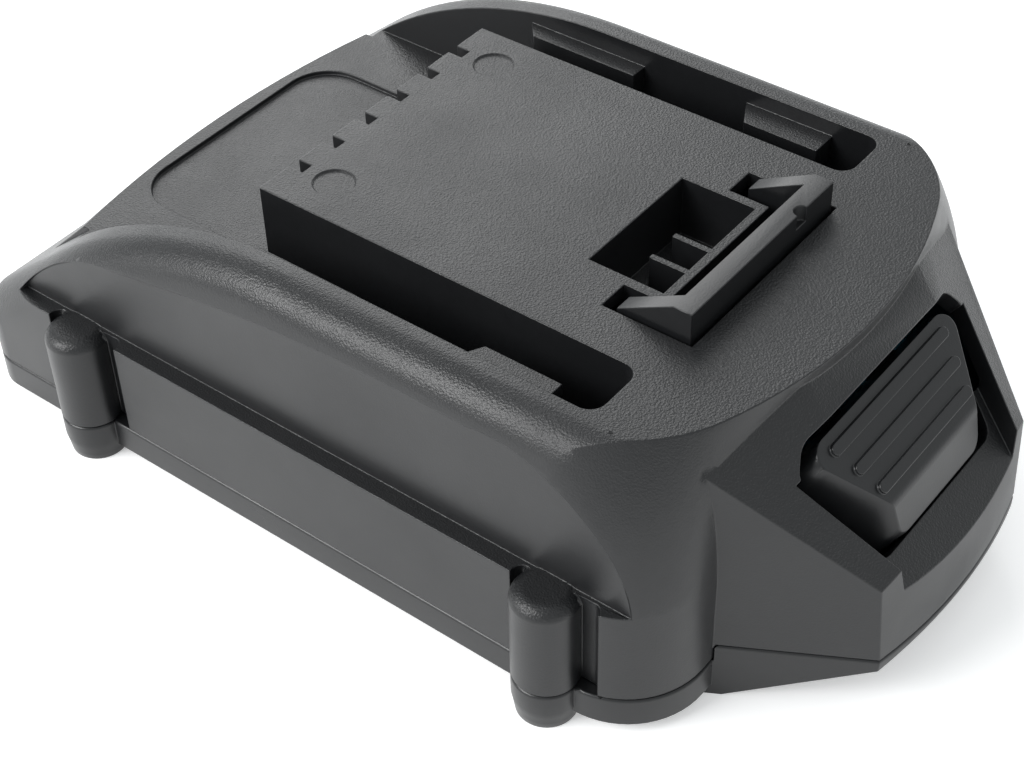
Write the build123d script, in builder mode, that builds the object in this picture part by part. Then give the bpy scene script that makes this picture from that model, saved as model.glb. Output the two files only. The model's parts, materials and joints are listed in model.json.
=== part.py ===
from build123d import *
from math import atan2, cos, hypot, radians, sin, sqrt
import os

os.makedirs("parts", exist_ok=True)

# A slide-on lithium battery pack for cordless tools: millimetres, +Z up, X towards the nose with the
# release button, origin under the middle of the pack. The outside is the same on both sides of Y = 0.

# Five round cells lie side by side, their axes across the pack
cell_count = 5
cell_diameter = 18.4
cell_length = 65.0
cell_gap = 0.2
cell_floor = 2.4
cell_front = 40.2
cell_pitch = cell_diameter + cell_gap
cell_axis = cell_floor + cell_diameter / 2
cell_top = cell_floor + cell_diameter
cell_rear = cell_front - cell_count * cell_pitch + cell_gap

# Close fits have this gap, and cutting shapes reach this far past the outside
fit_gap = 0.05
beyond = 10.0

# Case, outside and in, measured from the cells
rear_reach = 8.3
front_reach = 4.3
side_room = 0.7
side_wall = 3.4
deck_lean = 3.1
case_rear = cell_rear - rear_reach
case_front = cell_front + front_reach
case_wall = 2.0
inner_corner = 1.0
low_deck_wall = 1.5
cell_room_half_width = cell_length / 2 + side_room
cell_room_front = cell_front + front_reach / 2
cell_room_corner = 4.0
case_half_width = cell_room_half_width + side_wall
deck_half_width = case_half_width - deck_lean
front_room_half_width = 22.0
front_room_front = 41.5
front_room_corner = 3.0
latch_passage = 8.0
platform_wall = 2.0
base_corner = 10.4
parting = 5.7
ledge = 19.1
deck = 39.2
shoulder_round = 4.8

# Side view of the shoulders: flat, then an arc that clears the last cell, then a slope, then the rear wall
crest_start = -8.0
crest_clearance = 4.6
crest_end = cell_rear + 5.6
crest_run = crest_start - crest_end
crest_drop = deck - cell_top - crest_clearance
crest_radius = (crest_run**2 + crest_drop**2) / (2 * crest_drop)
rear_round = 5.0

# Front edge of the deck, seen from above
rim_front = 46.7
rim_radius = 60.0
rim_corner = 18.0

# Rear deck between the shoulders
low_deck = 25.5
low_deck_rear = -50.7
low_deck_corner = (-48.0, 27.0)
crown_foot = 14.0
crown_foot_corner = (-59.4, 30.0)
crown_foot_rear = -60.8
crown_start = -30.0
low_deck_pocket_rear = -48.5
low_deck_pocket_half_width = 18.1
low_deck_pocket_corner = 6.0
low_deck_pocket_depth = 0.6

# Platform and the two rail channels beside it
platform_half_width = 20.8
platform_rear = -22.0
rail_half_width = case_half_width - 7.7
channel_front = 31.4
channel_corner = 2.0

# Rail tabs, which hold the pack under the tool's rails: rear, front, inner face, top
tab_rear_span = (-20.0, -2.4)
tab_rear_face = 26.5
tab_rear_top = 36.5
tab_front_span = (12.8, 24.8)
tab_front_face = 25.3
tab_front_top = 37.1
tab_thickness = 3.2
tab_lead = 1.8

# Side scoops, above a ledge
scoop_face = case_half_width - 2.2
scoop_rear = -52.0
scoop_front = 40.3
scoop_crown = 34.9
scoop_front_bend = (35.2, 30.0)
scoop_crown_front = 19.0
scoop_crown_bend = (-12.0, 34.0)
scoop_crown_rear = (-33.0, 30.9)

# Board and the contacts behind the six slots in the platform's rear wall
slot_count = 6
contact_slot_width = 1.65
contact_slot_low = 28.5
contact_slot_reach = 2.1
ejector_mark_x = -15.6
ejector_mark_y = 15.0
ejector_mark_radius = 2.5
ejector_mark_depth = 0.25
block_margin = 1.4
block_half_width = platform_half_width - platform_wall - block_margin
contact_pitch = 2 * (block_half_width - 2.55) / (slot_count - 1)
board_rear = -18.6
board_front = 12.6
board_half_width = block_half_width - 0.4
board_low = 27.6
board_thickness = 1.6
board_boss_x = -2.4
board_boss_y = board_half_width - 3.0
board_boss_radius = 2.4
board_boss_hole = 6.0
board_screw_radius = 1.0

# Terminal block on the board, and the six contact clips in it
block_length = 9.0
block_height = 7.2
clip_length = 7.6
clip_width = 2.0
clip_gap = 0.9
clip_height = 6.4
clip_room = 0.15
clip_base = 0.8
clip_back = 1.0
block_gap = 0.3

# Strips, papers and foam round the cells
strip_thickness = 0.15
strip_height = 8.0
strip_reach = 6.4
strip_slit_width = 0.8
strip_slit_length = 4.8
strip_tail_width = 3.0
strip_tail_height = 4.0
paper_thickness = 0.2
end_paper_reach = 5.0
end_paper_corner = 2.0
top_paper_reach = 2.5
top_paper_margin = 1.0
floor_foam_thickness = 0.4
floor_foam_reach = 7.0
floor_foam_margin = 2.0
top_foam_middle = (8.4, 24.9)
top_foam_length = 30.0
top_foam_width = 6.0
can_wall_step = 1.0
cap_radius = 3.0
wrap_thickness = 0.1
ring_thickness = 0.3
ring_hole = 4.2
bus_width = 6.0
lead_radius = 0.5
lead_height = 19.5
lead_hole = 0.6
lead_run_height = 25.4
lead_end_x = 8.6
thermistor_radius = 1.2

# Strips from the pack's two ends to the board
paper_gap = 0.25
bus_run_y = 8.0
bus_negative_end = 8.0
bus_positive_end = -17.0
lead_bend = 1.4
lead_inner_y = 4.5
lead_middle_y = 12.0
thermistor_y = 3.0

# Parts on the board: size, and how far their middles are from its long edges or its front
transistor_size = (9.0, 6.4, 4.4)
transistor_x = 4.5
transistor_margin = 7.5
chip_size = (7.0, 7.0, 1.2)
chip_x = -3.6
shunt_size = (3.2, 6.4, 0.8)
shunt_margin = 1.8
fuse_size = (8.0, 3.6, 2.4)
fuse_x = 6.5
edge_margin = 2.2
resistor_size = (1.6, 0.8, 0.6)
resistor_columns = (-8.4, 1.0, 3.2, 5.4)
resistor_pitch = 2.4
capacitor_radius = 2.0
capacitor_height = 5.0
capacitor_columns = (5.0, 9.8)
board_screw_head = 2.0
board_screw_head_height = 1.2
board_screw_length = 7.0

# Latch springs, between bosses in the nose and pads under the button
spring_x = 47.2
spring_y = 6.0
spring_low = 13.0
spring_high = 26.0
spring_coil = 1.9
spring_wire = 0.3
spring_turns = 7
spring_boss_radius = 2.7
spring_pin_radius = 1.2
spring_pin_height = 2.0
spring_pad = 4.4

# Latch frame under the deck
web_low = 28.9
plate_top = 30.7
plate_half_width = 10.0
stop_wing = 16.5
stop_low = 34.5
stop_gap = 0.25
arm_low_rear = 37.4
arm_low_front = 35.0
button_low = 17.5
button_wall = 1.5

# Bottom tray
floor_wall = 2.0
tray_wall = 2.6
tray_bevel = 1.7

# Housing screws, from below
screw_radius = 1.4
screw_length = 12.0
screw_head_radius = 2.6
screw_head_height = 1.7
screw_recess_depth = 2.0
screw_clearance = 0.2
screw_head_clearance = 0.3
screw_socket_radius = 1.2
screw_socket_depth = 1.0

# Screw posts in the sides of the case, and the notches round them, which reach further to the front
post_front = 30.5
post_rear = -41.0
post_half_spacing = case_half_width - 0.3
post_radius = 4.0
post_flat = 2.0
post_top = 17.8
post_dome = 1.5
post_hole_radius = 1.45
post_hole_depth = 9.0
notch_rear_reach = 4.5
notch_front_reach = 6.7
notch_face = case_half_width - 1.7
notch_corner = 1.2
foot_taper = 0.4
foot_taper_height = 2.8

# Nose: plan at its own, higher parting line, then a facet on each side, the brow over the recess, and the
# apron below it. The recess is drawn on the slope between slope_head and slope_foot.
nose_parting = 8.2
nose_root = (43.8, 24.8)
nose_corner = (60.1, 15.7)
nose_front = 61.9
nose_lean = 0.07
nose_wall = 2.2
facet_root = (43.8, 24.8, 32.9)
facet_foot = (59.4, 16.1, 19.3)
facet_inner = (50.3, 17.7, 29.2)
brow_head = (48.7, 34.7)
brow_foot = (58.7, 24.7)
apron_head = (56.7, 19.7)
apron_foot = (60.8, 16.5)
apron_rear = 53.5
apron_shoulder = (3.0, 17.9)
apron_end = (30.0, 9.9)
slope_foot = (59.6, 13.7)
slope_head = (47.8, 33.6)
chin_start = 45.5
chin_tip = 7.4

# The way the release button and the latch move: back and down
press_back = 2.5
press_drop = 3.85
travel = hypot(press_back, press_drop)

# Release button in its recess in the slope, measured down the slope from its head
recess_half_width = 15.2
recess_shoulder = (3.0, 17.5)
recess_foot = (17.6, 12.1)
recess_corner = 2.3
button_gap = 0.7
button_head_gap = 1.3
button_foot_gap = 0.4
button_skirt = 3.4
button_rise = 3.6
button_draft = 0.56
button_head = (48.2, 32.4)
button_brow = (56.2, 24.9)
button_chin = (57.6, 19.4)
button_round = 2.2
button_rib_count = 3
button_rib_pitch = 3.3
button_rib_first = 2.1
button_rib_width = 1.4
button_rib_height = 0.5
button_rib_half = 12.9
button_rib_taper = 0.35
button_depth = 5.0

# Latch: window in the deck, slot round it, and the hooked frame that rises through the slot
window_rear = 16.5
window_front = 26.3
window_half_width = 9.2
window_side_wall = 1.2
window_front_wall = 1.2
window_depth = 8.0
window_rib_place = 2.3
window_rib_drop = 2.2
window_rib_width = 0.8
window_rib_rear = 20.0
latch_gap = 0.4
slot_rear = 22.1
arm_inner = 11.8
arm_outer = 14.2
arm_rear = 23.7
bar_rear = 30.8
bar_front = 33.2
slot_front = bar_front + latch_gap
slot_half_width = arm_outer + latch_gap
latch_rise = 3.75
bar_notch_radius = 1.0
bar_notch_place = 7.5
bar_notch_depth = 4.0

# The front form stands this much outside the sides, and its flat base bows this much less than the rim
front_clearance = 0.05
flat_bow = 40


def crest_height(x):
    """Height of the shoulder line on its arc."""
    return deck - crest_radius + sqrt(crest_radius**2 - (x - crest_start) ** 2)


crest_end_height = crest_height(crest_end)
crest_slope = (crest_start - crest_end) / sqrt(crest_radius**2 - (crest_end - crest_start) ** 2)


def side_profile(inset):
    """Draw the pack in side view, up to the deck, moved inwards by inset."""
    arc = crest_radius - inset
    middle = (crest_start, deck - crest_radius)
    turn = atan2(crest_slope, 1)
    bend = (middle[0] - arc * sin(turn / 2), middle[1] + arc * cos(turn / 2))
    end = (middle[0] - arc * sin(turn), middle[1] + arc * cos(turn))
    rear = case_rear + inset
    corner = (rear, end[1] - (end[0] - rear) * crest_slope)
    Line((nose_front, parting), (nose_front, deck - inset))
    Line((nose_front, deck - inset), (crest_start, deck - inset))
    ThreePointArc((crest_start, deck - inset), bend, end)
    FilletPolyline(end, corner, (rear, parting), radius=rear_round)
    Line((rear, parting), (nose_front, parting))


def cross_profile():
    """Draw the pack seen along X: upright walls, then sides that lean in as far as the deck."""
    lean = case_half_width - deck_half_width
    rise = deck - ledge
    arc = (rise**2 + lean**2) / (2 * lean)
    turn = atan2(rise, arc - lean)
    bend = (case_half_width - arc + arc * cos(turn / 2), ledge + arc * sin(turn / 2))
    Line((0, parting), (case_half_width, parting))
    Line((case_half_width, parting), (case_half_width, ledge))
    ThreePointArc((case_half_width, ledge), bend, (deck_half_width, deck))
    Line((deck_half_width, deck), (0, deck))
    mirror(about=Plane.YZ)


def front_outline(blend):
    """Draw the front in plan, from the square base (0) to the round edge of the deck (1)."""
    half = case_half_width + (deck_half_width - case_half_width) * blend + front_clearance
    corner = base_corner + (rim_corner - base_corner) * blend
    front = case_front + (rim_front - case_front) * blend
    bow = rim_radius * flat_bow / (1 + (flat_bow - 1) * blend)
    side = half - corner
    spread = sqrt((bow - corner) ** 2 - side**2)
    start = (front - bow + spread, half)
    turn = atan2(side, spread)
    meet = (front - bow + bow * cos(turn), bow * sin(turn))
    bend = (turn + radians(90)) / 2
    knee = (start[0] + corner * cos(bend), side + corner * sin(bend))
    rear = case_rear - beyond
    Line((rear, half), start)
    ThreePointArc(start, knee, meet)
    ThreePointArc(meet, (front, 0), (meet[0], -meet[1]))
    ThreePointArc((meet[0], -meet[1]), (knee[0], -knee[1]), (start[0], -start[1]))
    Line((start[0], -start[1]), (rear, -half))
    Line((rear, -half), (rear, half))


with BuildPart() as front_form:
    with BuildSketch(Plane.XY.offset(parting)):
        with BuildLine():
            front_outline(0)
        make_face()
    extrude(amount=ledge - parting)
    with BuildSketch(Plane.XY.offset(ledge)):
        with BuildLine():
            front_outline(0)
        make_face()
    with BuildSketch(Plane.XY.offset((ledge + deck) / 2)):
        with BuildLine():
            front_outline(0.25)
        make_face()
    with BuildSketch(Plane.XY.offset(deck)):
        with BuildLine():
            front_outline(1)
        make_face()
    loft()


def nose_outline(shift, inset):
    """Draw the nose in plan, its front moved back by shift and all its walls moved in by inset."""
    run = (nose_corner[0] - nose_root[0], nose_corner[1] - nose_root[1])
    length = hypot(*run)
    across = (run[1] / length, -run[0] / length)
    slope = run[1] / run[0]
    root_x = case_front - base_corner
    root_y = nose_root[1] + (root_x - nose_root[0]) * slope + inset / across[1]
    corner_x = nose_corner[0] - shift - inset
    corner_y = root_y + (corner_x - root_x) * slope
    apex = nose_front - shift - inset
    Polyline((corner_x, -corner_y), (root_x, -root_y), (root_x, root_y), (corner_x, corner_y))
    ThreePointArc((corner_x, corner_y), (apex, 0), (corner_x, -corner_y))


slope_run = (slope_foot[0] - slope_head[0], slope_foot[1] - slope_head[1])
slope_normal = Vector(-slope_run[1], 0, slope_run[0]).normalized()
slope_face = Plane(origin=(slope_head[0], 0, slope_head[1]), x_dir=(0, 1, 0), z_dir=slope_normal)


def side_plane(head, foot):
    """The plane through two points of the side view, its normal pointing up and to the front."""
    normal = (head[1] - foot[1], 0, foot[0] - head[0])
    return Plane(origin=(head[0], 0, head[1]), x_dir=(0, 1, 0), z_dir=normal)


brow_face = side_plane(brow_head, brow_foot)
apron_face = side_plane(apron_head, apron_foot)


def facet_plane(side):
    """The facet on one side of the nose, its normal pointing outwards; side is 1 or -1."""
    root, foot, inner = [Vector(x, side * y, z) for x, y, z in (facet_root, facet_foot, facet_inner)]
    return Plane(origin=root, x_dir=foot - root, z_dir=(inner - root).cross(foot - root) * side)


def nose_form(inset, high):
    """The closed form of the nose up to a height, all its walls moved in by inset."""
    with BuildPart() as form:
        with BuildSketch(Plane.XY.offset(nose_parting)):
            with BuildLine():
                nose_outline(0, inset)
            make_face()
        with BuildSketch(Plane.XY.offset(high)):
            with BuildLine():
                nose_outline((high - nose_parting) * nose_lean, inset)
            make_face()
        loft(ruled=True)
        split(bisect_by=brow_face.offset(-inset), keep=Keep.BOTTOM)
        for side in (-1, 1):
            split(bisect_by=facet_plane(side).offset(-inset), keep=Keep.BOTTOM)
    return form.part


press = Vector(-press_back, 0, -press_drop).normalized()


def recess_outline(side, head, foot):
    """Draw the button's opening on the slope, x across and y up the slope, moved in at its edges."""
    outline = [
        (recess_half_width - side, -head),
        (recess_shoulder[1] - side, -recess_shoulder[0]),
        (recess_foot[1] - side, foot - recess_foot[0]),
    ]
    outline += [(-x, y) for x, y in reversed(outline)]
    FilletPolyline(*outline, radius=recess_corner, close=True)


def press_tool(side, head, foot, inward, outward):
    """What the button's outline, moved in at its edges, sweeps along its way in and out of the slope."""
    with BuildPart() as tool:
        with BuildSketch(slope_face):
            with BuildLine():
                recess_outline(side, head, foot)
            make_face()
        sheet = tool.pending_faces[0]
        extrude(sheet, amount=inward, dir=press)
        extrude(sheet, amount=outward, dir=press * -1)
    return tool.part


# Everything above the apron, as far as the sides of the recess go on to the front
with BuildPart() as apron_cut:
    with BuildSketch(slope_face):
        with BuildLine():
            Polyline(
                (apron_shoulder[1], -apron_shoulder[0]),
                (apron_end[1], -apron_end[0]),
                (-apron_end[1], -apron_end[0]),
                (-apron_shoulder[1], -apron_shoulder[0]),
                close=True,
            )
        make_face()
    apron_sheet = apron_cut.pending_faces[0]
    extrude(apron_sheet, amount=beyond, dir=press)
    extrude(apron_sheet, amount=beyond, dir=press * -1)
    split(bisect_by=apron_face, keep=Keep.TOP)

# Room inside the nose, which stays under the apron at the front
with BuildPart() as nose_room:
    add(nose_form(nose_wall, deck - platform_wall))
    under_apron = apron_face.offset(-nose_wall).origin
    apron_fall = (apron_head[1] - apron_foot[1]) / (apron_foot[0] - apron_head[0])
    with BuildSketch(Plane.XZ):
        with BuildLine():
            Polyline(
                (apron_rear, under_apron.Z - (apron_rear - under_apron.X) * apron_fall),
                (nose_front, under_apron.Z - (nose_front - under_apron.X) * apron_fall),
                (nose_front, deck),
                (apron_rear, deck),
                close=True,
            )
        make_face()
    extrude(amount=case_half_width, both=True, mode=Mode.SUBTRACT)


def crown_outline(corner, rear):
    """Draw the rear of the pack in plan, with a bowed rear edge."""
    Polyline(corner, (crown_start, corner[1]), (crown_start, -corner[1]), (corner[0], -corner[1]))
    ThreePointArc((corner[0], -corner[1]), (rear, 0), corner)


def scoop_outline():
    """Draw the scoop in side view: the ledge below, a long shallow arch above."""
    Line((scoop_rear, ledge), (scoop_front, ledge))
    ThreePointArc((scoop_front, ledge), scoop_front_bend, (scoop_crown_front, scoop_crown))
    crown = ThreePointArc((scoop_crown_front, scoop_crown), scoop_crown_bend, scoop_crown_rear)
    TangentArc(scoop_crown_rear, (scoop_rear, ledge), tangent=crown % 1)


def post_profile():
    """Draw half of a screw post, with its round-edged cap."""
    cap = post_top + post_dome
    middle = (post_flat + (post_radius - post_flat) * sin(radians(45)), post_top + post_dome * sin(radians(45)))
    Polyline((post_flat, cap), (0, cap), (0, parting), (post_radius, parting), (post_radius, post_top))
    ThreePointArc((post_radius, post_top), middle, (post_flat, cap))


def tray_outline(inset):
    """Draw the case's plan at the parting line, without the nose, moved in by inset."""
    half = case_half_width - inset
    front = case_front - inset
    rear = case_rear + inset
    front_corner = max(base_corner - inset, inner_corner)
    rear_corner = max(shoulder_round - inset, inner_corner)
    FilletPolyline(
        (front, half),
        (rear, half),
        (rear, -half),
        (front, -half),
        radius=[front_corner, rear_corner, rear_corner, front_corner],
        close=True,
    )


chin_rise = atan2(chin_tip, nose_front - chin_start)
chin_face = Plane(
    origin=(chin_start, 0, 0),
    x_dir=(cos(chin_rise), 0, sin(chin_rise)),
    z_dir=(-sin(chin_rise), 0, cos(chin_rise)),
)

post_places = [(x, side * post_half_spacing) for x in (post_front, post_rear) for side in (-1, 1)]

with BuildPart() as chin:
    with BuildSketch(Plane.XY):
        with BuildLine():
            nose_outline(0, 0)
        make_face()
    extrude(amount=nose_parting)
    split(bisect_by=chin_face, keep=Keep.TOP)
    with BuildSketch(Plane.XY.offset(parting)):
        with Locations((case_front - beyond, 0)):
            Rectangle(2 * beyond, 2 * case_half_width)
    extrude(amount=nose_parting, mode=Mode.SUBTRACT)

with BuildPart() as cell_room:
    with BuildSketch(Plane.XZ):
        with BuildLine():
            side_profile(case_wall)
        make_face()
    extrude(amount=cell_room_half_width, both=True)
    with BuildSketch(Plane.XY):
        with BuildLine():
            FilletPolyline(
                (case_rear, -case_half_width),
                (cell_room_front, -cell_room_half_width),
                (cell_room_front, cell_room_half_width),
                (case_rear, case_half_width),
                radius=cell_room_corner,
                close=True,
            )
        make_face()
    extrude(amount=low_deck - low_deck_wall, mode=Mode.INTERSECT)

with BuildPart() as body:
    # Side view and end view together give the main form, with rounded shoulders and rear corners
    with BuildSketch(Plane.XZ):
        with BuildLine():
            side_profile(0)
        make_face()
    extrude(amount=case_half_width + beyond, both=True)
    with BuildSketch(Plane.YZ):
        with BuildLine():
            cross_profile()
        make_face()
    extrude(amount=2 * nose_front, both=True, mode=Mode.INTERSECT)
    crest = (
        body.edges()
        .filter_by(lambda edge: abs(edge.center().Y) > deck_half_width - 0.5)
        .filter_by(lambda edge: edge.center().X < nose_front - 1 and edge.bounding_box().size.Y < 5)
        .filter_by(lambda edge: edge.center().Z > ledge + 0.5 or edge.center().X < case_rear + 3)
        .filter_by(lambda edge: edge.length > 3)
    )
    fillet(crest, radius=shoulder_round)
    add(front_form.part, mode=Mode.INTERSECT)

    # Rear deck's bowed edge
    with BuildSketch(Plane.XY.offset(low_deck)):
        with BuildLine():
            crown_outline(low_deck_corner, low_deck_rear)
        make_face()
    with BuildSketch(Plane.XY.offset(crown_foot)):
        with BuildLine():
            crown_outline(crown_foot_corner, crown_foot_rear)
        make_face()
    loft(ruled=True)
    add(nose_form(0, deck))

    # Scoops along both sides
    for side in (-1, 1):
        with BuildSketch(Plane.XZ.offset(-side * scoop_face)):
            with BuildLine():
                scoop_outline()
            make_face()
        extrude(amount=-side * beyond, mode=Mode.SUBTRACT)

    # Notches round the screw posts, then the posts
    notch_length = notch_rear_reach + notch_front_reach
    with BuildSketch(Plane.XY.offset(parting)):
        for x in (post_front, post_rear):
            for side in (-1, 1):
                with Locations((x - notch_rear_reach + notch_length / 2, side * (notch_face + beyond / 2))):
                    RectangleRounded(notch_length, beyond, notch_corner)
    extrude(amount=ledge - parting, mode=Mode.SUBTRACT)
    for x in (post_front, post_rear):
        for side in (-1, 1):
            with BuildSketch(Plane((x, side * post_half_spacing, 0), x_dir=(1, 0, 0), z_dir=(0, -1, 0))):
                with BuildLine():
                    post_profile()
                make_face()
            revolve(axis=Axis((x, side * post_half_spacing, 0), (0, 0, 1)))

    # Space between the shoulders: rear deck, then the rail channels beside the platform
    with BuildSketch(Plane.XY.offset(low_deck)):
        with BuildLine():
            Polyline(
                (case_rear - beyond, -rail_half_width),
                (platform_rear, -rail_half_width),
                (platform_rear, rail_half_width),
                (case_rear - beyond, rail_half_width),
                close=True,
            )
        make_face()
        channel_length = channel_front - platform_rear + beyond
        channel_middle = (platform_half_width + rail_half_width) / 2
        with Locations(*[(channel_front - channel_length / 2, side * channel_middle) for side in (-1, 1)]):
            RectangleRounded(channel_length, rail_half_width - platform_half_width, channel_corner)
    extrude(amount=deck, mode=Mode.SUBTRACT)
    with BuildSketch(Plane.XY.offset(low_deck)):
        with Locations(((low_deck_pocket_rear + platform_rear) / 2, 0)):
            RectangleRounded(
                platform_rear - low_deck_pocket_rear, 2 * low_deck_pocket_half_width, low_deck_pocket_corner
            )
    extrude(amount=-low_deck_pocket_depth, mode=Mode.SUBTRACT)

    # Platform, level with the deck as far as its rear edge
    with BuildSketch(Plane.XY.offset(low_deck)):
        with Locations((platform_rear / 2, 0)):
            Rectangle(-platform_rear, 2 * platform_half_width)
    extrude(amount=deck - low_deck)

    # Rail tabs on the channels' outer walls
    for (rear, front), face, top in (
        (tab_rear_span, tab_rear_face, tab_rear_top),
        (tab_front_span, tab_front_face, tab_front_top),
    ):
        for side in (-1, 1):
            with BuildSketch(Plane.XY.offset(top - tab_thickness)):
                with BuildLine():
                    Polyline(
                        (rear, side * (rail_half_width + 1)),
                        (rear, side * (rail_half_width - 0.3)),
                        (rear + tab_lead, side * face),
                        (front, side * face),
                        (front, side * (rail_half_width + 1)),
                        close=True,
                    )
                make_face()
            extrude(amount=tab_thickness)

    # Room inside: the cells, then the board, the front, and the nose
    add(cell_room.part, mode=Mode.SUBTRACT)
    room_top = deck - platform_wall
    with BuildSketch(Plane.XY.offset(cell_top)):
        rear = platform_rear + platform_wall
        with Locations(((rear + channel_front) / 2, 0)):
            Rectangle(channel_front - rear, 2 * (platform_half_width - platform_wall))
        with Locations(((channel_front + case_wall + front_room_front) / 2, 0)):
            RectangleRounded(
                front_room_front - channel_front - case_wall, 2 * front_room_half_width, front_room_corner
            )
        with Locations((channel_front + case_wall, 0)):
            Rectangle(latch_passage, 2 * (platform_half_width - platform_wall))
    extrude(amount=room_top - cell_top, mode=Mode.SUBTRACT)
    add(nose_room.part, mode=Mode.SUBTRACT)

    # Apron, and the recess for the button
    add(apron_cut.part, mode=Mode.SUBTRACT)
    add(press_tool(0, 0, 0, button_depth + beyond, beyond), mode=Mode.SUBTRACT)

    # Latch slot, then the window pocket whose walls stand in it
    with BuildSketch(Plane.XY.offset(room_top)):
        with Locations(((slot_rear + slot_front) / 2, 0)):
            Rectangle(slot_front - slot_rear, 2 * slot_half_width)
    extrude(amount=platform_wall, mode=Mode.SUBTRACT)
    pocket_front = window_front + window_front_wall
    pocket_rear = window_rear - window_side_wall
    pocket_half = window_half_width + window_side_wall
    with BuildSketch(Plane.XY.offset(deck - window_depth - window_side_wall)):
        with Locations(((pocket_rear + pocket_front) / 2, 0)):
            Rectangle(pocket_front - pocket_rear, 2 * pocket_half)
    extrude(amount=window_depth + window_side_wall)
    with BuildSketch(Plane.XY.offset(deck - window_depth)):
        with Locations(((window_rear + window_front) / 2, 0)):
            Rectangle(window_front - window_rear, 2 * window_half_width)
    extrude(amount=window_depth, mode=Mode.SUBTRACT)
    with BuildSketch(Plane.XY.offset(deck - window_depth)):
        for side in (-1, 1):
            with Locations(((window_rib_rear + window_front) / 2, side * window_rib_place)):
                Rectangle(window_front - window_rib_rear, window_rib_width)
    extrude(amount=window_depth - window_rib_drop)

    # Contact slots in the platform's rear wall, open at the top, and two ejector marks
    contact_places = [(index - (slot_count - 1) / 2) * contact_pitch for index in range(slot_count)]
    with BuildSketch(Plane.XY.offset(contact_slot_low)):
        with Locations(*[(platform_rear, y) for y in contact_places]):
            Rectangle(2 * contact_slot_reach, contact_slot_width)
    extrude(amount=deck - contact_slot_low, mode=Mode.SUBTRACT)
    with BuildSketch(Plane.XY.offset(deck)):
        with Locations((ejector_mark_x, ejector_mark_y), (ejector_mark_x, -ejector_mark_y)):
            Circle(ejector_mark_radius)
    extrude(amount=-ejector_mark_depth, mode=Mode.SUBTRACT)

    # Bosses for the board screws, and holes for the housing screws
    with BuildSketch(Plane.XY.offset(board_low + board_thickness)):
        with Locations((board_boss_x, board_boss_y), (board_boss_x, -board_boss_y)):
            Circle(board_boss_radius)
    extrude(until=Until.NEXT)
    with Locations(Plane.XY.offset(board_low + board_thickness)):
        with Locations((board_boss_x, board_boss_y), (board_boss_x, -board_boss_y)):
            Cylinder(board_screw_radius + fit_gap, 2 * board_boss_hole, mode=Mode.SUBTRACT)
    with BuildSketch(Plane.XY.offset(parting)):
        for x in (post_front, post_rear):
            with Locations((x, post_half_spacing), (x, -post_half_spacing)):
                Circle(post_hole_radius)
    extrude(amount=post_hole_depth, mode=Mode.SUBTRACT)
body.part.label = "top_housing"
export_step(body.part, "parts/top_housing.step")

# Bottom tray: the floor under the cells, the underside of the nose, and four screw feet
with BuildPart() as tray:
    with BuildSketch(Plane.XY):
        with BuildLine():
            tray_outline(0)
        make_face()
    extrude(amount=parting)
    chamfer(tray.faces().sort_by(Axis.Z)[0].edges(), length=tray_bevel)
    add(chin.part)
    rest_on_base = (Align.CENTER, Align.CENTER, Align.MIN)
    with Locations(*post_places):
        Cone(post_radius - foot_taper, post_radius, foot_taper_height, align=rest_on_base)
    with Locations(Plane.XY.offset(foot_taper_height)):
        with Locations(*post_places):
            Cylinder(post_radius, parting - foot_taper_height, align=rest_on_base)
    with BuildSketch(Plane.XY.offset(floor_wall)):
        with BuildLine():
            tray_outline(tray_wall)
        make_face()
    extrude(amount=parting, mode=Mode.SUBTRACT)
    with BuildSketch(Plane.XY.offset(floor_wall)):
        with Locations((spring_x, spring_y), (spring_x, -spring_y)):
            Circle(spring_boss_radius)
    extrude(amount=spring_low - floor_wall)
    with BuildSketch(Plane.XY.offset(spring_low)):
        with Locations((spring_x, spring_y), (spring_x, -spring_y)):
            Circle(spring_pin_radius)
    extrude(amount=spring_pin_height)
    with BuildSketch(Plane.XY):
        with Locations(*post_places):
            Circle(screw_head_radius + screw_head_clearance)
    extrude(amount=screw_recess_depth, mode=Mode.SUBTRACT)
    with BuildSketch(Plane.XY):
        with Locations(*post_places):
            Circle(screw_radius + screw_clearance)
    extrude(amount=parting, mode=Mode.SUBTRACT)
tray.part.label = "bottom_housing"
export_step(tray.part, "parts/bottom_housing.step")

# Housing screws
with BuildPart() as screws:
    with BuildSketch(Plane.XY.offset(screw_recess_depth - screw_head_height)):
        with Locations(*post_places):
            Circle(screw_head_radius)
    extrude(amount=screw_head_height)
    with BuildSketch(Plane.XY.offset(screw_recess_depth)):
        with Locations(*post_places):
            Circle(screw_radius)
    extrude(amount=screw_length)
    with BuildSketch(Plane.XY.offset(screw_recess_depth - screw_head_height)):
        with Locations(*post_places):
            RegularPolygon(screw_socket_radius, 6)
    extrude(amount=screw_socket_depth, mode=Mode.SUBTRACT)
screws.part.label = "housing_screws"
export_step(screws.part, "parts/housing_screws.step")

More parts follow.
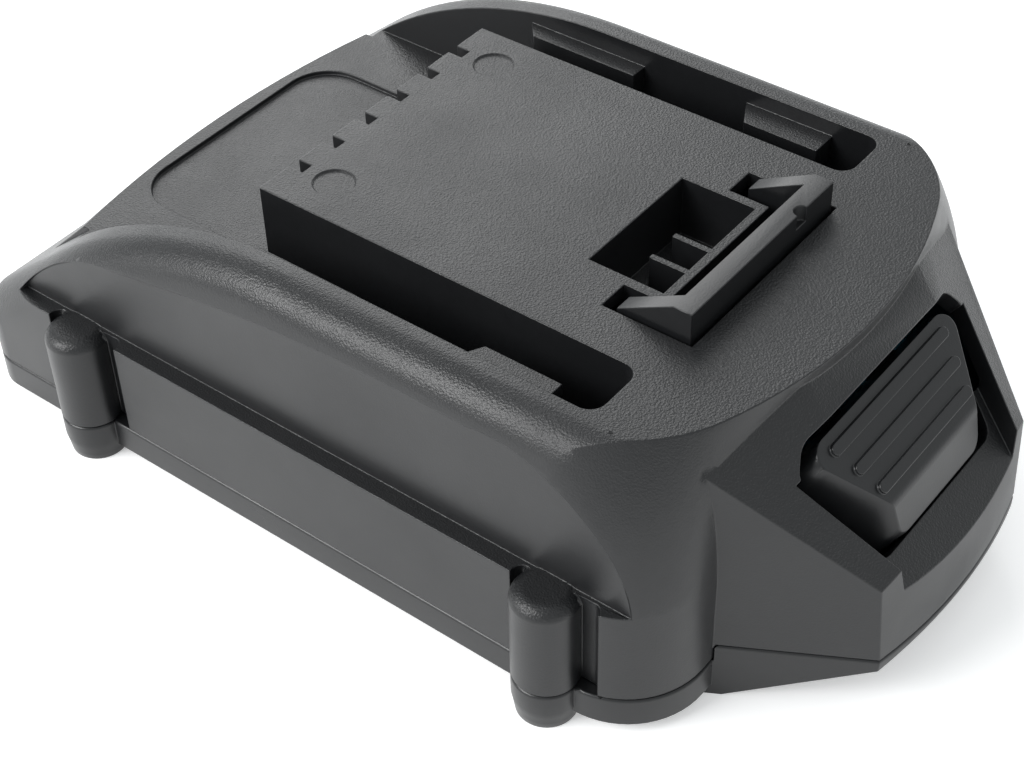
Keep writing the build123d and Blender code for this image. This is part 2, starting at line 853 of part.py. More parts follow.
# Release button: follows the recess, with a face of its own, three ribs across it, and a hollow underneath
button_face = side_plane(button_head, button_brow)
button_front = side_plane(button_brow, button_chin)
button_lean = button_gap + button_draft * (button_skirt + button_rise)
hollow_head = -button_head_gap - button_wall
hollow_foot = button_foot_gap + button_wall - recess_foot[0]
hollow_head_half = recess_shoulder[1] - button_lean - button_wall
hollow_foot_half = recess_foot[1] - button_lean - button_wall
with BuildPart() as hollow:
    with BuildSketch(slope_face):
        with BuildLine():
            FilletPolyline(
                (hollow_head_half, hollow_head),
                (hollow_foot_half, hollow_foot),
                (-hollow_foot_half, hollow_foot),
                (-hollow_head_half, hollow_head),
                radius=inner_corner,
                close=True,
            )
        make_face()
    opening = hollow.pending_faces[0]
    extrude(opening, amount=button_depth + beyond, dir=press)
    extrude(opening, amount=beyond, dir=press * -1)
    split(bisect_by=button_face.offset(-button_wall), keep=Keep.BOTTOM)
    split(bisect_by=button_front.offset(-button_wall), keep=Keep.BOTTOM)

# Pads that the springs push on: full size below the latch frame's plate, within the button above it
pad_places = [(spring_x, spring_y), (spring_x, -spring_y)]
with BuildPart() as spring_pads:
    with BuildSketch(Plane.XY.offset(web_low)):
        with Locations(*pad_places):
            Rectangle(spring_pad, spring_pad)
    extrude(amount=deck - web_low)
    add(press_tool(button_gap, button_head_gap, button_foot_gap, button_depth, beyond), mode=Mode.INTERSECT)
    split(bisect_by=button_face.offset(-button_wall / 2), keep=Keep.BOTTOM)
    with BuildSketch(Plane.XY.offset(spring_high)):
        with Locations(*pad_places):
            Rectangle(spring_pad, spring_pad)
    extrude(amount=web_low - spring_high)

with BuildPart() as button:
    # Upright skirt in the recess, and over it ends that lean in
    skirt_top = Plane(origin=slope_face.origin + press * button_skirt, x_dir=(0, 1, 0), z_dir=slope_normal)
    lean_top = Plane(origin=slope_face.origin - press * button_rise, x_dir=(0, 1, 0), z_dir=slope_normal)
    with BuildSketch(skirt_top):
        with BuildLine():
            recess_outline(button_gap, button_head_gap, button_foot_gap)
        make_face()
    skirt = button.pending_faces[0]
    with BuildSketch(lean_top):
        with BuildLine():
            recess_outline(button_lean, button_head_gap, button_foot_gap)
        make_face()
    loft(ruled=True)
    extrude(skirt, amount=button_depth - button_skirt, dir=press)
    split(bisect_by=button_face, keep=Keep.BOTTOM)
    split(bisect_by=Plane.XY.offset(button_low), keep=Keep.TOP)
    split(bisect_by=button_front, keep=Keep.BOTTOM)
    brow = (
        button.edges()
        .filter_by(Axis.Y)
        .filter_by(lambda edge: abs(edge.center().Z - button_brow[1]) < 1)
        .filter_by(lambda edge: edge.center().X > slope_head[0] + 2)
    )
    fillet(brow, radius=button_round)
    add(hollow.part, mode=Mode.SUBTRACT)
    add(spring_pads.part)
    for index in range(button_rib_count):
        along = button_rib_first + index * button_rib_pitch
        half = button_rib_half - button_rib_taper * along
        with BuildSketch(button_face):
            with Locations((0, -along)):
                SlotOverall(2 * half, button_rib_width)
        extrude(amount=button_rib_height)
button.part.label = "release_button"
export_step(button.part, "parts/release_button.step")

# Latch frame: a hooked bar between two sloping arms, a web down through the slot, and a plate to the button
slope_length = hypot(*slope_run)
back_gap = button_head_gap * abs(slope_run[1] * press_back + slope_run[0] * press_drop) / slope_length / travel
back_wall = Plane(
    origin=(slope_head[0], 0, slope_head[1]), x_dir=(0, 1, 0), z_dir=(press_drop, 0, -press_back)
)
button_back = back_wall.offset(back_gap)
plate_front = slope_head[0] + 4
with BuildPart() as latch:
    with BuildSketch(Plane.XZ):
        with BuildLine():
            Polyline(
                (arm_rear, arm_low_rear),
                (arm_rear, deck),
                (bar_rear, deck + latch_rise),
                (bar_front, deck + latch_rise),
                (bar_front, arm_low_front),
                (bar_rear, arm_low_front),
                close=True,
            )
        make_face()
    extrude(amount=arm_outer, both=True)
    with BuildSketch(Plane.XY.offset(web_low)):
        with Locations((bar_rear - beyond / 2, 0)):
            Rectangle(beyond, 2 * arm_inner)
    extrude(amount=deck, mode=Mode.SUBTRACT)
    with BuildSketch(Plane.XY.offset(web_low)):
        with Locations(((bar_rear + bar_front) / 2, 0)):
            Rectangle(bar_front - bar_rear, 2 * arm_outer)
    extrude(amount=arm_low_front - web_low)
    with BuildSketch(Plane.XY.offset(stop_low)):
        with Locations(((bar_rear + bar_front) / 2, 0)):
            Rectangle(bar_front - bar_rear, 2 * stop_wing)
    extrude(amount=deck - platform_wall - stop_gap - stop_low)
    with BuildSketch(Plane.XY.offset(web_low)):
        with Locations(((bar_front + plate_front) / 2, 0)):
            Rectangle(plate_front - bar_front, 2 * plate_half_width)
    extrude(amount=plate_top - web_low)
    split(bisect_by=button_back, keep=Keep.BOTTOM)
    with Locations((bar_front, bar_notch_place, deck + latch_rise)):
        Cylinder(bar_notch_radius, bar_notch_depth, mode=Mode.SUBTRACT)
latch.part.label = "latch_frame"
export_step(latch.part, "parts/latch_frame.step")

# Latch springs
coil_rise = spring_high - spring_low - 2 * spring_wire
for name, side in (("latch_spring_left", 1), ("latch_spring_right", -1)):
    with BuildPart() as spring:
        with BuildLine():
            foot = (spring_x, side * spring_y, spring_low + spring_wire)
            coil = Helix(coil_rise / spring_turns, coil_rise, spring_coil, center=foot)
        with BuildSketch(Plane(origin=coil @ 0, z_dir=coil % 0)):
            Circle(spring_wire)
        sweep(is_frenet=True)
    spring.part.label = name
    export_step(spring.part, f"parts/{name}.step")


def cell_x(index):
    """Where a cell's axis crosses the pack, counted from the front; halves are between two cells."""
    return cell_front - cell_diameter / 2 - index * cell_pitch


def cell_way(index):
    """Which side a cell's positive end points to: 1 is +Y, and it alternates."""
    return 1 if index % 2 == 0 else -1


can_radius = cell_diameter / 2 - wrap_thickness
end_face = cell_length / 2
cap_face = end_face - can_wall_step
row_middle = (cell_x(0) + cell_x(cell_count - 1)) / 2
row_length = cell_x(0) - cell_x(cell_count - 1)

# Cells: steel cans with a raised cap at the positive end
for index in range(cell_count):
    x = cell_x(index)
    way = cell_way(index)
    name = f"cell_{index + 1}"
    with BuildPart() as cell:
        with BuildSketch(Plane.XY.offset(cell_axis)):
            with BuildLine():
                Polyline(
                    (x, -way * end_face),
                    (x + can_radius, -way * end_face),
                    (x + can_radius, way * cap_face),
                    (x + cap_radius, way * cap_face),
                    (x + cap_radius, way * end_face),
                    (x, way * end_face),
                    close=True,
                )
            make_face()
        revolve(axis=Axis((x, 0, cell_axis), (0, 1, 0)))
    cell.part.label = name
    export_step(cell.part, f"parts/{name}.step")

# Shrink sleeves on the cans, and an insulating ring round each positive cap
with BuildPart() as sleeves:
    for index in range(cell_count):
        way = cell_way(index)
        with BuildSketch(Plane.XZ.offset(way * end_face)):
            with Locations((cell_x(index), cell_axis)):
                Circle(cell_diameter / 2)
                Circle(can_radius, mode=Mode.SUBTRACT)
        extrude(amount=-way * (cell_length - can_wall_step))
sleeves.part.label = "cell_sleeves"
export_step(sleeves.part, "parts/cell_sleeves.step")

with BuildPart() as rings:
    for index in range(cell_count):
        way = cell_way(index)
        with BuildSketch(Plane.XZ.offset(-way * cap_face)):
            with Locations((cell_x(index), cell_axis)):
                Circle(can_radius)
                Circle(ring_hole, mode=Mode.SUBTRACT)
        extrude(amount=-way * ring_thickness)
rings.part.label = "cell_rings"
export_step(rings.part, "parts/cell_rings.step")


# Where the sense leads and the thermistor go up between the cells
lead_places = [
    (cell_x(0.5), lead_inner_y),
    (cell_x(1.5), -lead_middle_y),
    (cell_x(2.5), board_boss_y),
    (cell_x(2.5), -board_boss_y),
]
thermistor_x = cell_x(1.5)


def link_strip(index):
    """A strip over the ends of a cell and the next one, with a tail up to its sense lead."""
    front = cell_x(index)
    rear = cell_x(index + 1)
    tail = lead_places[index][0]
    tail_top = lead_height + lead_radius
    with BuildPart() as piece:
        with BuildSketch(Plane.XZ.offset(-cell_way(index) * end_face)):
            with Locations(((front + rear) / 2, cell_axis)):
                SlotOverall(front - rear + 2 * strip_reach, strip_height)
            if tail > front:
                with Locations(((tail + front) / 2, tail_top - strip_tail_height / 2)):
                    Rectangle(tail - front + strip_tail_width, strip_tail_height)
                with Locations((front, (cell_axis + tail_top) / 2)):
                    Rectangle(strip_tail_width, tail_top - cell_axis)
            else:
                with Locations((tail, (cell_axis + tail_top) / 2)):
                    Rectangle(strip_tail_width, tail_top - cell_axis)
            with Locations((front, cell_axis), (rear, cell_axis)):
                Rectangle(strip_slit_width, strip_slit_length, mode=Mode.SUBTRACT)
        extrude(amount=-cell_way(index) * strip_thickness)
    return piece.part


# Nickel strips that join the cells in series
for index in range(cell_count - 1):
    name = f"link_strip_{index + 1}"
    link = link_strip(index)
    link.label = name
    export_step(link, f"parts/{name}.step")


def end_strip(x, side, run_end):
    """A strip over one cell's end, folded across the top of the cells, along X, and up to the board."""
    top = cell_top + paper_gap + strip_thickness
    low = cell_axis - strip_height / 2
    ahead = 1 if run_end > x else -1
    run_start = x - ahead * bus_width / 2
    outer = side * (end_face + strip_thickness)
    inner = side * (bus_run_y - bus_width / 2)
    with BuildPart() as piece:
        with BuildSketch(Plane.XZ.offset(-side * end_face)):
            with Locations((x, (low + top) / 2)):
                Rectangle(bus_width, top - low)
        extrude(amount=-side * strip_thickness)
        with BuildSketch(Plane.XY.offset(top)):
            with Locations((x, (outer + inner) / 2)):
                Rectangle(bus_width, abs(outer - inner))
            with Locations(((run_start + run_end) / 2, side * bus_run_y)):
                Rectangle(abs(run_end - run_start), bus_width)
        extrude(amount=-strip_thickness)
        with BuildSketch(Plane.XY.offset(top)):
            with Locations((run_end - ahead * strip_thickness / 2, side * bus_run_y)):
                Rectangle(strip_thickness, bus_width)
        extrude(amount=board_low - top)
    return piece.part


# Strips from the pack's two ends: the first cell's negative end and the last cell's positive end
negative_strip = end_strip(cell_x(0), -cell_way(0), bus_negative_end)
negative_strip.label = "negative_strip"
export_step(negative_strip, "parts/negative_strip.step")
positive_strip = end_strip(cell_x(cell_count - 1), cell_way(cell_count - 1), bus_positive_end)
positive_strip.label = "positive_strip"
export_step(positive_strip, "parts/positive_strip.step")

# Papers over both rows of cell ends
end_paper_low = floor_wall + floor_foam_thickness
for name, side in (("end_paper_left", 1), ("end_paper_right", -1)):
    with BuildPart() as paper:
        with BuildSketch(Plane.XZ.offset(-side * (end_face + strip_thickness))):
            with Locations((row_middle, (end_paper_low + cell_top) / 2)):
                RectangleRounded(
                    row_length + 2 * end_paper_reach, cell_top - end_paper_low, end_paper_corner
                )
        extrude(amount=-side * paper_thickness)
    paper.part.label = name
    export_step(paper.part, f"parts/{name}.step")

# Paper over the cells, with holes for the leads
with BuildPart() as top_paper:
    with BuildSketch(Plane.XY.offset(cell_top)):
        with Locations((row_middle, 0)):
            Rectangle(row_length + 2 * top_paper_reach, cell_length - 2 * top_paper_margin)
        with Locations(*lead_places, (thermistor_x, thermistor_y)):
            Circle(lead_radius + lead_hole, mode=Mode.SUBTRACT)
    extrude(amount=paper_thickness)
top_paper.part.label = "top_paper"
export_step(top_paper.part, "parts/top_paper.step")

# Foam under the cells, and two strips of it over them below the rail channels
with BuildPart() as floor_foam:
    with BuildSketch(Plane.XY.offset(floor_wall)):
        with Locations((row_middle, 0)):
            Rectangle(row_length + 2 * floor_foam_reach, cell_length - 2 * floor_foam_margin)
    extrude(amount=floor_foam_thickness)
floor_foam.part.label = "floor_foam"
export_step(floor_foam.part, "parts/floor_foam.step")

with BuildPart() as top_foam:
    with BuildSketch(Plane.XY.offset(cell_top + paper_thickness)):
        with Locations(top_foam_middle, (top_foam_middle[0], -top_foam_middle[1])):
            Rectangle(top_foam_length, top_foam_width)
    extrude(amount=low_deck - low_deck_wall - cell_top - paper_thickness)
top_foam.part.label = "top_foam"
export_step(top_foam.part, "parts/top_foam.step")

# Leads from the link strips, in between the cells and up to the board
for index, (x, y) in enumerate(lead_places):
    name = f"sense_lead_{index + 1}"
    route = [(x, cell_way(index) * end_face, lead_height), (x, y, lead_height)]
    if x > board_front:
        route += [(x, y, lead_run_height), (lead_end_x, y, lead_run_height), (lead_end_x, y, board_low)]
    else:
        route += [(x, y, board_low)]
    with BuildPart() as lead:
        with BuildLine():
            run = FilletPolyline(*route, radius=lead_bend)
        with BuildSketch(Plane(origin=run @ 0, z_dir=run % 0)):
            Circle(lead_radius)
        sweep()
    lead.part.label = name
    export_step(lead.part, f"parts/{name}.step")

# Thermistor: a bead resting between two cells, and its stiff lead to the board
bead_reach = cell_diameter / 2 + thermistor_radius
bead_height = cell_axis + sqrt(bead_reach**2 - (cell_pitch / 2) ** 2)
with BuildPart() as thermistor:
    with Locations((thermistor_x, thermistor_y, bead_height)):
        Sphere(thermistor_radius)
    with BuildSketch(Plane.XY.offset(bead_height)):
        with Locations((thermistor_x, thermistor_y)):
            Circle(lead_radius)
    extrude(amount=board_low - bead_height)
thermistor.part.label = "thermistor"
export_step(thermistor.part, "parts/thermistor.step")

# Circuit board, hung from two bosses by screws
board_top = board_low + board_thickness
board_screw_places = [(board_boss_x, board_boss_y), (board_boss_x, -board_boss_y)]
with BuildPart() as board:
    with BuildSketch(Plane.XY.offset(board_low)):
        with Locations(((board_rear + board_front) / 2, 0)):
            RectangleRounded(board_front - board_rear, 2 * board_half_width, inner_corner)
        with Locations(*board_screw_places):
            Circle(board_screw_radius + screw_clearance, mode=Mode.SUBTRACT)
    extrude(amount=board_thickness)
board.part.label = "circuit_board"
export_step(board.part, "parts/circuit_board.step")

with BuildPart() as board_screws:
    with BuildSketch(Plane.XY.offset(board_low)):
        with Locations(*board_screw_places):
            Circle(board_screw_head)
    extrude(amount=-board_screw_head_height)
    with BuildSketch(Plane.XY.offset(board_low)):
        with Locations(*board_screw_places):
            Circle(board_screw_radius)
    extrude(amount=board_screw_length)
board_screws.part.label = "board_screws"
export_step(board_screws.part, "parts/board_screws.step")

# Terminal block, its slots open to the rear and on top, and a forked clip in each slot
block_rear = platform_rear + platform_wall + block_gap
with BuildPart() as block:
    with BuildSketch(Plane.XY.offset(board_top)):
        with Locations((block_rear + block_length / 2, 0)):
            Rectangle(block_length, 2 * block_half_width)
        with Locations(*[(block_rear + (clip_length + clip_room) / 2, y) for y in contact_places]):
            Rectangle(clip_length + clip_room, clip_width + 2 * clip_room, mode=Mode.SUBTRACT)
    extrude(amount=block_height)
block.part.label = "terminal_block"
export_step(block.part, "parts/terminal_block.step")

for index, y in enumerate(contact_places):
    name = f"contact_clip_{index + 1}"
    with BuildPart() as clip:
        with BuildSketch(Plane.XY.offset(board_top)):
            with Locations((block_rear + clip_length / 2, y)):
                Rectangle(clip_length, clip_width)
        extrude(amount=clip_height)
        with BuildSketch(Plane.XY.offset(board_top + clip_base)):
            with Locations((block_rear + clip_length / 2 - clip_back, y)):
                Rectangle(clip_length, clip_gap)
        extrude(amount=clip_height, mode=Mode.SUBTRACT)
    clip.part.label = name
    export_step(clip.part, f"parts/{name}.step")

# Pieces soldered to the top of the board: name, size and places
transistor_y = board_half_width - transistor_margin
fuse_y = board_half_width - edge_margin
resistor_rows = (-resistor_pitch, 0, resistor_pitch)
for name, (length, width, height), places in (
    ("power_transistors", transistor_size, [(transistor_x, transistor_y), (transistor_x, -transistor_y)]),
    ("controller_chip", chip_size, [(chip_x, 0)]),
    ("shunt_resistor", shunt_size, [(board_front - shunt_margin, 0)]),
    ("fuse", fuse_size, [(fuse_x, fuse_y)]),
    ("small_resistors", resistor_size, [(x, y) for x in resistor_columns for y in resistor_rows]),
):
    with BuildPart() as piece:
        with BuildSketch(Plane.XY.offset(board_top)):
            with Locations(*places):
                Rectangle(length, width)
        extrude(amount=height)
    piece.part.label = name
    export_step(piece.part, f"parts/{name}.step")

with BuildPart() as capacitors:
    with BuildSketch(Plane.XY.offset(board_top)):
        with Locations(*[(x, edge_margin - board_half_width) for x in capacitor_columns]):
            Circle(capacitor_radius)
    extrude(amount=capacitor_height)
capacitors.part.label = "capacitors"
export_step(capacitors.part, "parts/capacitors.step")
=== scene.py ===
import json
import math

import bmesh
import bpy
from mathutils import Euler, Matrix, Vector


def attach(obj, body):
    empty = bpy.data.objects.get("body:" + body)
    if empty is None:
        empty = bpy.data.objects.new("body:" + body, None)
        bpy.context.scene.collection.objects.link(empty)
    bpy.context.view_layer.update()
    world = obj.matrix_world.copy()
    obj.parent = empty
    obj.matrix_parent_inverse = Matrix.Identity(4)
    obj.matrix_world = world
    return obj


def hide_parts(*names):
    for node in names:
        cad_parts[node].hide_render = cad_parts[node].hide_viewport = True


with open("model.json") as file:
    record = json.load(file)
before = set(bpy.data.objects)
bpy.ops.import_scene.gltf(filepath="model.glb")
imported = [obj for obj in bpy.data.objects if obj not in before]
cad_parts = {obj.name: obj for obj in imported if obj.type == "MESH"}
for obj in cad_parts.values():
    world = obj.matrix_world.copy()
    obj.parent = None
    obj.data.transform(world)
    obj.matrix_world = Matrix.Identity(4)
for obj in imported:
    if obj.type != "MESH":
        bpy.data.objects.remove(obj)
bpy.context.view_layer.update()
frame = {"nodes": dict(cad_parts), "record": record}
nodes = frame["nodes"]
mm = 0.001
print("frame loaded:", len(nodes), "nodes")


# small helpers for node trees
def newMaterial(name):
    mat = bpy.data.materials.new(name)
    mat.use_nodes = True
    tree = mat.node_tree
    shader = tree.nodes["Principled BSDF"]
    return mat, tree, shader


def addNode(tree, kind, **settings):
    node = tree.nodes.new(kind)
    for key, value in settings.items():
        setattr(node, key, value)
    return node


def noiseNode(tree, coords, scale, detail, rough):
    node = addNode(tree, "ShaderNodeTexNoise")
    node.inputs["Scale"].default_value = scale
    node.inputs["Detail"].default_value = detail
    node.inputs["Roughness"].default_value = rough
    tree.links.new(coords, node.inputs["Vector"])
    return node


def rampNode(tree, factor, low, high, toLow, toHigh):
    node = addNode(tree, "ShaderNodeMapRange")
    node.inputs["From Min"].default_value = low
    node.inputs["From Max"].default_value = high
    node.inputs["To Min"].default_value = toLow
    node.inputs["To Max"].default_value = toHigh
    tree.links.new(factor, node.inputs["Value"])
    return node


# One finish for each material: two close tones, patches of gloss, a fine grain and slow waves in the wall
def finish(name, values):
    mat, tree, shader = newMaterial(name)
    place = addNode(tree, "ShaderNodeTexCoord")
    coords = place.outputs["Object"]
    link = tree.links.new

    tone = noiseNode(tree, coords, values["toneScale"], values["toneDetail"], values["toneRough"])
    mix = addNode(tree, "ShaderNodeMix", data_type="RGBA")
    mix.inputs["A"].default_value = (*values["dark"], 1)
    mix.inputs["B"].default_value = (*values["light"], 1)
    link(tone.outputs["Fac"], mix.inputs["Factor"])
    link(mix.outputs["Result"], shader.inputs["Base Color"])

    patch = noiseNode(tree, coords, values["patchScale"], values["patchDetail"], values["patchRough"])
    gloss = rampNode(
        tree, patch.outputs["Fac"],
        values["patchLow"], values["patchHigh"], values["roughLow"], values["roughHigh"],
    )
    link(gloss.outputs["Result"], shader.inputs["Roughness"])

    # grain: rounded cells of about the eroded pits' size, over a finer noise
    grain = addNode(tree, "ShaderNodeTexVoronoi", feature="SMOOTH_F1")
    grain.inputs["Scale"].default_value = values["grainScale"]
    grain.inputs["Smoothness"].default_value = values["grainSmooth"]
    link(coords, grain.inputs["Vector"])
    fineScale = values["grainScale"] * values["fineRatio"]
    fine = noiseNode(tree, coords, fineScale, values["fineDetail"], values["fineRough"])
    both = addNode(tree, "ShaderNodeMath", operation="MULTIPLY_ADD")
    link(fine.outputs["Fac"], both.inputs[0])
    both.inputs[1].default_value = values["fineShare"]
    link(grain.outputs["Distance"], both.inputs[2])

    # walls come smoother out of the mould than the faces that look up
    facing = addNode(tree, "ShaderNodeSeparateXYZ")
    link(place.outputs["Normal"], facing.inputs["Vector"])
    strength = rampNode(
        tree, facing.outputs["Z"],
        values["wallFacing"], values["topFacing"], values["wallGrain"], values["topGrain"],
    )
    pits = addNode(tree, "ShaderNodeBump")
    link(strength.outputs["Result"], pits.inputs["Strength"])
    pits.inputs["Distance"].default_value = values["grainDepth"] * mm
    link(both.outputs["Value"], pits.inputs["Height"])

    wave = noiseNode(tree, coords, values["waveScale"], values["waveDetail"], values["waveRough"])
    sag = addNode(tree, "ShaderNodeBump")
    sag.inputs["Strength"].default_value = 1.0
    sag.inputs["Distance"].default_value = values["waveDepth"] * mm
    link(wave.outputs["Fac"], sag.inputs["Height"])
    link(sag.outputs["Normal"], pits.inputs["Normal"])
    link(pits.outputs["Normal"], shader.inputs["Normal"])

    shader.inputs["Metallic"].default_value = values["metal"]
    shader.inputs["IOR"].default_value = values["ior"]
    shader.inputs["Specular IOR Level"].default_value = values["specular"]
    return mat


# Black nylon with an eroded grain on the deck, shoulders and nose; scales are per metre, depths in mm
grainedValues = {
    "dark": (0.0065, 0.0068, 0.0075), "light": (0.0105, 0.011, 0.012),
    "toneScale": 900, "toneDetail": 4, "toneRough": 0.6,
    "patchScale": 55, "patchDetail": 3, "patchRough": 0.55, "patchLow": 0.3, "patchHigh": 0.7,
    "roughLow": 0.3, "roughHigh": 0.42, "metal": 0, "ior": 1.5, "specular": 0.5,
    "grainScale": 4000, "grainSmooth": 0.6, "grainDepth": 0.045,
    "fineRatio": 1.7, "fineDetail": 3, "fineRough": 0.6, "fineShare": 0.8,
    "wallFacing": 0.15, "topFacing": 0.6, "wallGrain": 0.15, "topGrain": 1.0,
    "waveScale": 60, "waveDetail": 2, "waveRough": 0.4, "waveDepth": 0.02,
}
satinValues = dict(grainedValues, roughLow=0.26, roughHigh=0.36, topGrain=0.4, grainDepth=0.02)
metalValues = dict(satinValues, metal=1, topGrain=0.15, grainDepth=0.008, waveDepth=0.01)
cardValues = dict(grainedValues, roughLow=0.8, roughHigh=0.95)
foamValues = dict(grainedValues, roughLow=0.85, roughHigh=0.95)

grainedPlastic = finish("grainedPlastic", grainedValues)
satinPlastic = finish("satinPlastic", satinValues)

# Finishes of the pieces inside, by the slot that each one has in the record
innerValues = {
    "block_plastic": dict(satinValues, dark=(0.034, 0.034, 0.038), light=(0.052, 0.052, 0.057)),
    "screw_steel": dict(metalValues, dark=(0.36, 0.36, 0.37), light=(0.5, 0.5, 0.52)),
    "spring_steel": dict(metalValues, dark=(0.42, 0.42, 0.44), light=(0.54, 0.54, 0.56)),
    "cell_steel": dict(metalValues, dark=(0.54, 0.54, 0.55), light=(0.64, 0.64, 0.65)),
    "nickel": dict(metalValues, dark=(0.58, 0.57, 0.54), light=(0.68, 0.67, 0.64)),
    "capacitor_can": dict(metalValues, dark=(0.62, 0.62, 0.64), light=(0.73, 0.73, 0.75)),
    "contact_brass": dict(metalValues, dark=(0.66, 0.49, 0.24), light=(0.78, 0.6, 0.32)),
    "sleeve_film": dict(satinValues, dark=(0.04, 0.24, 0.36), light=(0.055, 0.3, 0.44), roughLow=0.2),
    "insulating_card": dict(cardValues, dark=(0.62, 0.56, 0.42), light=(0.74, 0.68, 0.52)),
    "foam": dict(foamValues, dark=(0.06, 0.06, 0.064), light=(0.1, 0.1, 0.105)),
    "lead_rubber": dict(satinValues, dark=(0.3, 0.025, 0.025), light=(0.38, 0.035, 0.035), roughHigh=0.5),
    "board_laminate": dict(satinValues, dark=(0.015, 0.13, 0.055), light=(0.025, 0.18, 0.08)),
    "chip_plastic": dict(
        satinValues, dark=(0.022, 0.022, 0.024), light=(0.036, 0.036, 0.038), roughHigh=0.6
    ),
    "fuse_ceramic": dict(satinValues, dark=(0.74, 0.72, 0.66), light=(0.82, 0.8, 0.74)),
}


def setMaterial(obj, mat):
    obj.data.materials.clear()
    obj.data.materials.append(mat)


# Where the two halves meet, their edges are broken more than the others, which leaves a thin dark groove.
# Lengths in mm, angles in degrees.
softValues = {
    "joinHeights": (5.7, 8.2), "joinEdge": 0.4, "near": 0.01, "merge": 0.002,
    "upperEdge": 0.15, "lowerEdge": 0.12, "keyEdge": 0.15, "hookEdge": 0.12,
    "sharpAngle": 28, "flatAngle": 0.2, "segments": 2, "shadeWeight": 60,
}


def atJoin(edge):
    levels = [vert.co.z / mm for vert in edge.verts]
    return any(all(abs(z - join) < softValues["near"] for z in levels) for join in softValues["joinHeights"])


# A finished copy of a CAD node: merged, its flat areas joined, its sharp edges softened
def softenedCopy(node, name, body, mat, edgeWidth):
    mesh = nodes[node].data.copy()
    mesh.name = name
    obj = bpy.data.objects.new(name, mesh)
    bpy.context.scene.collection.objects.link(obj)

    bm = bmesh.new()
    bm.from_mesh(mesh)
    bmesh.ops.remove_doubles(bm, verts=bm.verts, dist=softValues["merge"] * mm)
    flat = math.radians(softValues["flatAngle"])
    bmesh.ops.dissolve_limit(bm, angle_limit=flat, verts=bm.verts, edges=bm.edges)
    bm.normal_update()
    weight = bm.edges.layers.float.new("bevel_weight_edge")
    for edge in bm.edges:
        if len(edge.link_faces) == 2 and edge.calc_face_angle() > math.radians(softValues["sharpAngle"]):
            edge[weight] = 1.0 if atJoin(edge) else edgeWidth / softValues["joinEdge"]
    bm.to_mesh(mesh)
    bm.free()
    print(name, "faces", len(mesh.polygons))

    setMaterial(obj, mat)
    soft = obj.modifiers.new("soften", "BEVEL")
    soft.width = softValues["joinEdge"] * mm
    soft.segments = softValues["segments"]
    soft.limit_method = "WEIGHT"
    soft.use_clamp_overlap = False
    even = obj.modifiers.new("evenShade", "WEIGHTED_NORMAL")
    even.mode = "FACE_AREA"
    even.weight = softValues["shadeWeight"]
    for face in mesh.polygons:
        face.use_smooth = True

    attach(obj, body)
    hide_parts(node)


softenedCopy("top_housing", "upper_case", "case", grainedPlastic, softValues["upperEdge"])
softenedCopy("bottom_housing", "lower_case", "case", satinPlastic, softValues["lowerEdge"])
softenedCopy("release_button", "release_key", "latch", satinPlastic, softValues["keyEdge"])
softenedCopy("latch_frame", "latch_hook", "latch", satinPlastic, softValues["hookEdge"])
print("case pieces ready")

innerFinishes = {slot: finish(slot, values) for slot, values in innerValues.items()}
for part in frame["record"]["subparts"]:
    if part["material_slot"] in innerFinishes:
        setMaterial(nodes[part["node"]], innerFinishes[part["material_slot"]])
print("inner pieces ready")

# Floor, light and camera: lengths in metres, powers in watts
stageValues = {
    "floorSize": 3, "floorColor": (0.9, 0.9, 0.9, 1), "floorRough": 0.6, "floorLift": 0.36,
    "worldColor": (0.95, 0.985, 1, 1), "worldStrength": 0.75, "target": (0, 0, 0.02),
    "rearPlace": (-0.5, 0.4, 0.45), "rearSize": (0.5, 0.5), "rearPower": 2.4,
    "sidePlace": (-0.35, -0.6, 0.5), "sideSize": (0.5, 0.4), "sidePower": 6.5,
}
floorMesh = bpy.data.meshes.new("floor")
bm = bmesh.new()
bmesh.ops.create_grid(bm, x_segments=1, y_segments=1, size=stageValues["floorSize"])
bm.to_mesh(floorMesh)
bm.free()
floor = bpy.data.objects.new("floor", floorMesh)
bpy.context.scene.collection.objects.link(floor)

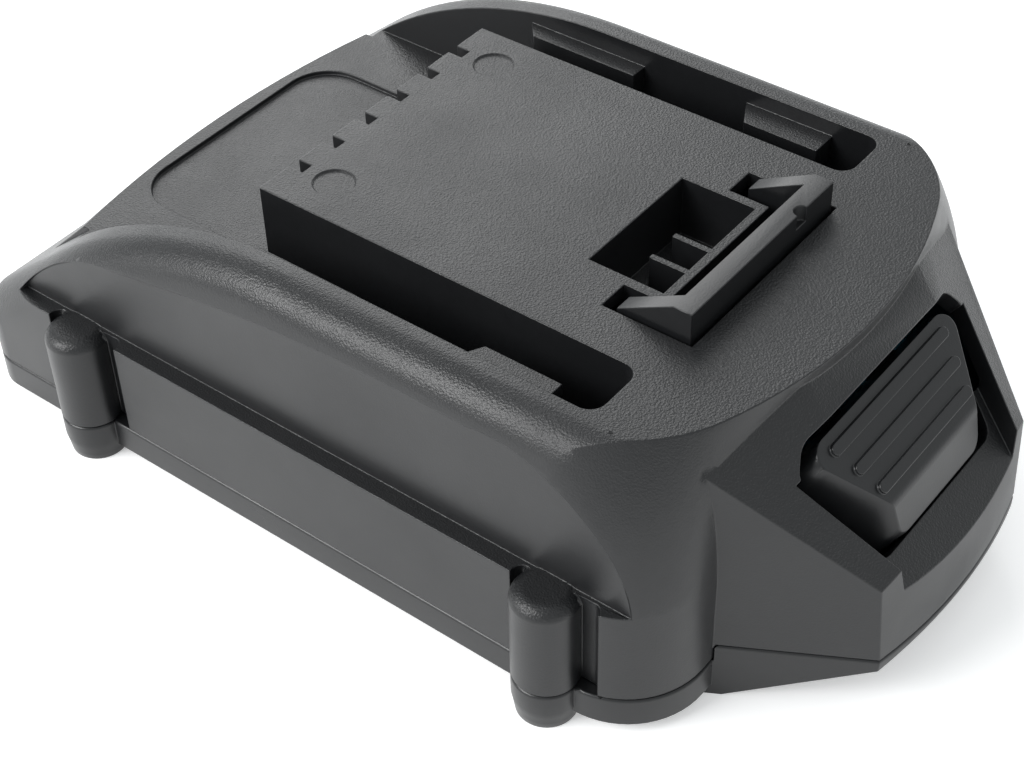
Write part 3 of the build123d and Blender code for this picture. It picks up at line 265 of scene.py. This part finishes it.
# White to the camera and in reflections, and still dark enough under the case for its shadow
floorMat, tree, shader = newMaterial("paleFloor")
shader.inputs["Base Color"].default_value = stageValues["floorColor"]
shader.inputs["Roughness"].default_value = stageValues["floorRough"]
shader.inputs["Emission Color"].default_value = (1, 1, 1, 1)
rays = addNode(tree, "ShaderNodeLightPath")
seen = addNode(tree, "ShaderNodeMath", operation="ADD")
tree.links.new(rays.outputs["Is Camera Ray"], seen.inputs[0])
tree.links.new(rays.outputs["Is Glossy Ray"], seen.inputs[1])
lift = rampNode(tree, seen.outputs["Value"], 0, 1, 0, stageValues["floorLift"])
tree.links.new(lift.outputs["Result"], shader.inputs["Emission Strength"])
setMaterial(floor, floorMat)

world = bpy.data.worlds.new("studio")
bpy.context.scene.world = world
world.use_nodes = True
background = world.node_tree.nodes["Background"]
background.inputs["Color"].default_value = stageValues["worldColor"]
background.inputs["Strength"].default_value = stageValues["worldStrength"]


def softbox(name, place, size, power):
    light = bpy.data.lights.new(name, "AREA")
    light.shape = "RECTANGLE"
    light.size, light.size_y = size
    light.energy = power
    obj = bpy.data.objects.new(name, light)
    bpy.context.scene.collection.objects.link(obj)
    obj.location = place
    aim = Vector(stageValues["target"]) - Vector(place)
    obj.rotation_euler = aim.to_track_quat("-Z", "Y").to_euler()


softbox("rearSoftbox", stageValues["rearPlace"], stageValues["rearSize"], stageValues["rearPower"])
softbox("sideSoftbox", stageValues["sidePlace"], stageValues["sideSize"], stageValues["sidePower"])

# Place in mm, turn in degrees, lens in mm: its focal length in pixels over the frame's width of 1024
cameraValues = {
    "place": (114.94, -146.42, 175.42),
    "turn": (47.485, 1.257, 37.505),
    "lens": 1974.2 / 1024 * 36, "sensor": 36, "near": 0.01, "far": 20,
}
camData = bpy.data.cameras.new("camera")
camData.sensor_width = cameraValues["sensor"]
camData.lens = cameraValues["lens"]
camData.clip_start, camData.clip_end = cameraValues["near"], cameraValues["far"]
cam = bpy.data.objects.new("camera", camData)
bpy.context.scene.collection.objects.link(cam)
cam.location = Vector(cameraValues["place"]) * mm
cam.rotation_euler = Euler([math.radians(angle) for angle in cameraValues["turn"]])
bpy.context.scene.camera = cam
bpy.context.scene.view_settings.view_transform = "Standard"
print("stage ready")
